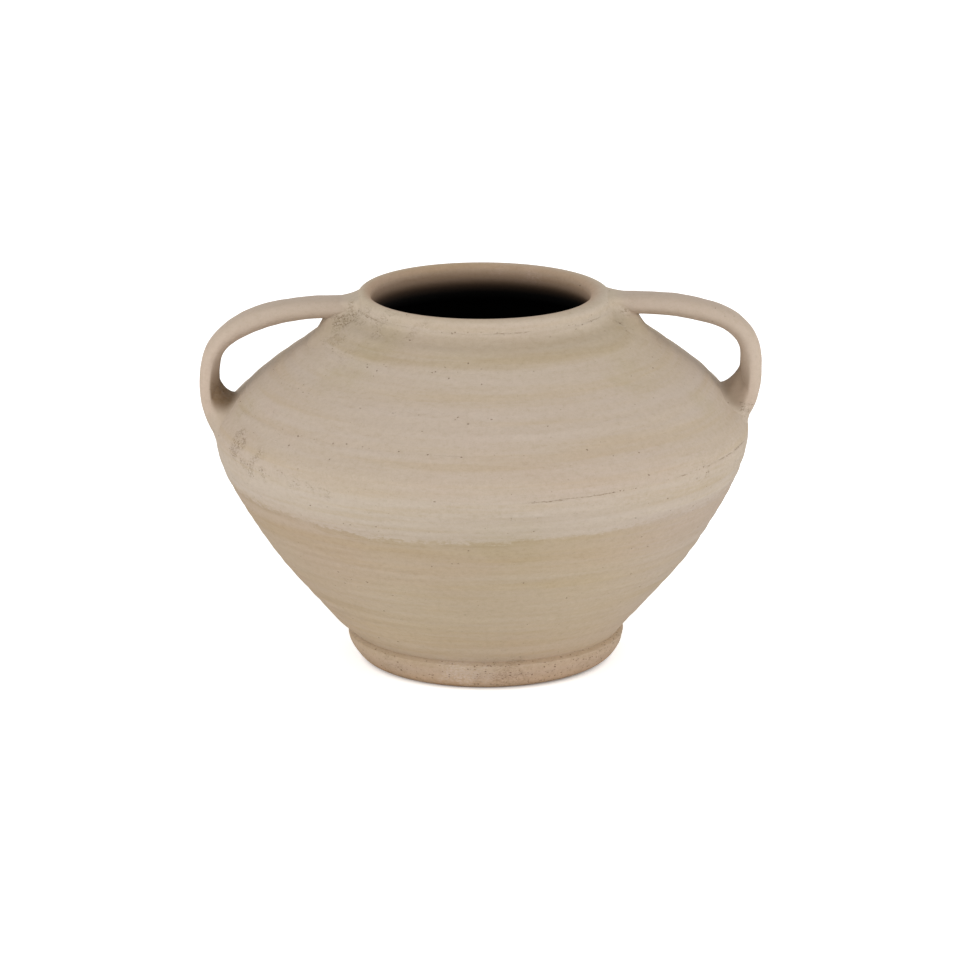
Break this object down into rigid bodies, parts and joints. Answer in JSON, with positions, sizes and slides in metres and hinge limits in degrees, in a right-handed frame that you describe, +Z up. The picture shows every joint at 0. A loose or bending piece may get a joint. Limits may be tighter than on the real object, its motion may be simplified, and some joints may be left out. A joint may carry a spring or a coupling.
{
  "type": "mexican olla",
  "caption": "Wide low jar of pale unglazed clay on a foot ring, with a rolled rim, a short hollow neck and a pair of strap handles, for cooking, storing and serving.",
  "frame": {"origin": "centre of the foot ring's resting face, on the jar's axis", "axes": "+Z up along the jar's axis, X through both handles, Y across them, the pictured side facing -Y"},
  "size_m": [0.4196, 0.398, 0.279],
  "materials": {
    "body_clay": "unglazed, wiped with pale slip, throwing lines and pits",
    "handle_clay": "unglazed, smoothed with wet fingers",
    "foot_clay": "unglazed coarse clay with grog pits and drag lines"
  },
  "bodies": {
    "root": {"foot_ring": "foot_clay", "base_slab": "body_clay", "lower_bowl": "body_clay", "belly_seam_coil": "body_clay", "shoulder": "body_clay", "neck_collar": "body_clay", "rim_coil": "body_clay", "left_handle": "handle_clay", "right_handle": "handle_clay", "left_upper_wad": "handle_clay", "right_upper_wad": "handle_clay", "left_lower_wad": "handle_clay", "right_lower_wad": "handle_clay"}
  },
  "joints": []
}
